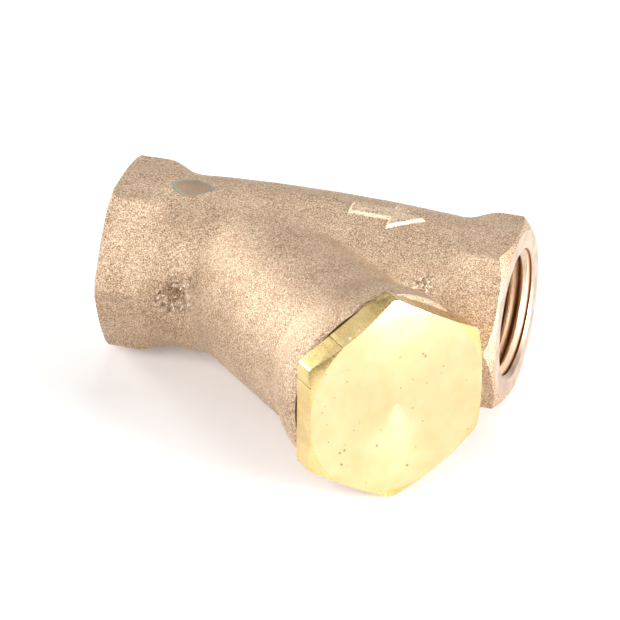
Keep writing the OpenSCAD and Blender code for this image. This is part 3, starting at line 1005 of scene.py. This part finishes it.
def buildSleeve():
    # a flat sheet of hexagonal cells, each with a hole, is rolled up and given its thickness
    spec = dict(around=24, hole=0.76, sides=12)
    b = basketSpec
    middle = b["sleeveR"] - b["sheet"] / 2
    pitch = 2 * math.pi * middle / spec["around"]
    evenRise = pitch * math.sqrt(3) / 2
    length = b["toS"] - b["fromS"]
    rows = round(length / evenRise)
    rise = length / rows
    bm = bmesh.new()
    outer, inner = [], []
    for i in range(spec["sides"]):
        a = math.radians(360 / spec["sides"] * i)
        reach = pitch / math.sqrt(3) if i % 2 else pitch / 2
        outer.append(bm.verts.new((reach * math.cos(a), reach * math.sin(a) * rise / evenRise, 0)))
        inner.append(bm.verts.new((spec["hole"] * math.cos(a), spec["hole"] * math.sin(a), 0)))
    loops = []
    for ring in (outer, inner):
        loops += [bm.edges.new((ring[i - 1], ring[i])) for i in range(spec["sides"])]
    bmesh.ops.bridge_loops(bm, edges=loops)
    cell = bm.faces[:]
    for row in range(rows + 1):
        for column in range(spec["around"]):
            if row or column:
                copy = bmesh.ops.duplicate(bm, geom=cell)["geom"]
                verts = [g for g in copy if isinstance(g, bmesh.types.BMVert)]
                bmesh.ops.translate(bm, verts=verts, vec=((column + row % 2 / 2) * pitch, row * rise, 0))
    bmesh.ops.remove_doubles(bm, verts=bm.verts, dist=1e-3)
    trim(bm, (0, length, 0), (0, 1, 0), dist=1e-4)
    trim(bm, (0, 0, 0), (0, -1, 0), dist=1e-4)
    for v in bm.verts:
        turn = v.co.x / middle
        v.co = (middle * math.cos(turn), middle * math.sin(turn), b["fromS"] + v.co.y)
    bmesh.ops.remove_doubles(bm, verts=bm.verts, dist=1e-2)
    bmesh.ops.recalc_face_normals(bm, faces=bm.faces)
    obj = toObject("sleeveSheet", bm)
    step = obj.modifiers.new("sheet", "SOLIDIFY")
    step.thickness = b["sheet"]
    step.offset = 0
    applied(obj)
    obj.data.materials.append(stainlessSheet())
    finishPiece(obj, branchPlace, "basket", "basket_sleeve")


def wovenRing(spec, centre, half, parity):
    # one wire around the basket, over and under the upright wires
    bm = bmesh.new()
    upright = Matrix.Translation((centre, 0, 0)) @ Matrix.Rotation(math.pi / 2, 4, "X")
    verts = bmesh.ops.create_circle(bm, segments=4, radius=half, matrix=upright)["verts"]
    bmesh.ops.spin(bm, geom=verts + bm.edges[:], cent=(0, 0, 0), axis=(0, 0, 1), angle=2 * math.pi,
                   steps=spec["warp"], use_merge=True)
    for v in bm.verts:
        column = round(math.atan2(v.co.y, v.co.x) / (2 * math.pi) * spec["warp"])
        push = half if (column + parity) % 2 else -half
        v.co.xy *= 1 + push / v.co.xy.length
    return bm


def wovenUpright(spec, centre, half, parity, low, rise):
    # one wire along the basket, under and over the rings
    bm = bmesh.new()
    start = Matrix.Translation((centre, 0, low))
    verts = bmesh.ops.create_circle(bm, segments=4, radius=half, matrix=start)["verts"]
    edges = bm.edges[:]
    for row in range(spec["weft"]):
        push = -half if (row + parity) % 2 else half
        made = bmesh.ops.extrude_edge_only(bm, edges=edges)["geom"]
        verts = [g for g in made if isinstance(g, bmesh.types.BMVert)]
        edges = [g for g in made if isinstance(g, bmesh.types.BMEdge)]
        mid = sum((v.co for v in verts), Vector()) / len(verts)
        goal = Vector((centre + push, 0, low + (row + 0.5) * rise))
        bmesh.ops.translate(bm, verts=verts, vec=goal - mid)
    closeEnds(bm)
    return bm


def buildCloth():
    spec = dict(warp=72, weft=56)
    b = basketSpec
    half = b["wire"] / 2
    centre = b["clothR"] - 2 * half
    rise = (b["toS"] - b["fromS"]) / spec["weft"]
    cloth = bmesh.new()
    wire = bpy.data.meshes.new("wire")
    for parity in (0, 1):
        wovenRing(spec, centre, half, parity).to_mesh(wire)
        for row in range(parity, spec["weft"], 2):
            height = b["fromS"] + (row + 0.5) * rise
            wire.transform(raised(height))
            cloth.from_mesh(wire)
            wire.transform(raised(-height))
        wovenUpright(spec, centre, half, parity, b["fromS"], rise).to_mesh(wire)
        wire.transform(Matrix.Rotation(2 * math.pi / spec["warp"] * parity, 4, "Z"))
        for column in range(0, spec["warp"], 2):
            cloth.from_mesh(wire)
            wire.transform(Matrix.Rotation(4 * math.pi / spec["warp"], 4, "Z"))
    bmesh.ops.recalc_face_normals(cloth, faces=cloth.faces)
    obj = toObject("wireCloth", cloth)
    obj.data.materials.append(stainlessWire())
    finishPiece(obj, branchPlace, "basket", "basket_mesh", crease=60)


def buildRing(name, node, place):
    # a pressed ring: a lip over the edge of the cloth and a band around the sleeve
    b = basketSpec
    e, bend, bendMiddle = 0.1, 0.3, 0.09
    lip, ring, wall, high = b["lipR"], b["ringR"], b["ringWall"], b["ringHigh"]
    points = [(lip + e, 0), (ring - bend, 0), (ring - bendMiddle, bendMiddle), (ring, bend), (ring, high - e),
              (ring - e, high), (b["bandIn"], high), (b["bandIn"], wall), (lip + e, wall), (lip, wall - e),
              (lip, e), (lip + e, 0)]
    obj = toObject(name, moved(lathe(points), place))
    obj.data.materials.append(bpy.data.materials["stainlessSheet"])
    finishPiece(obj, branchPlace, "basket", node, crease=40)


def buildFloorDisc():
    spec = dict(hole=0.75, sides=16, pitch=2.1, rows=4, reach=7.0, drill=3)
    b = basketSpec
    low = b["endS"] - b["ringWall"] - b["sheet"]
    high = low + b["sheet"]
    obj = toObject("floorDisc", lathe([(0, low), (b["sleeveR"], low), (b["sleeveR"], high), (0, high)]))
    obj.data.materials.append(bpy.data.materials["stainlessSheet"])
    bm = bmesh.new()
    for i in range(-spec["rows"], spec["rows"] + 1):
        for j in range(-spec["rows"], spec["rows"] + 1):
            x, y = (i + j / 2) * spec["pitch"], j * spec["pitch"] * math.sqrt(3) / 2
            if math.hypot(x, y) < spec["reach"]:
                addPrism(bm, spec["sides"], spec["hole"], spec["hole"], spec["drill"],
                         Matrix.Translation((x, y, low)))
    carve(obj, bm)
    finishPiece(obj, branchPlace, "basket", "basket_floor")


buildSleeve()
buildCloth()
buildRing("topRing", "basket_top_ring", raised(basketSpec["topS"]))
buildRing("endRing", "basket_end_ring", raised(basketSpec["endS"]) @ Matrix.Scale(-1, 4, (0, 0, 1)))
buildFloorDisc()
print("basket ready")
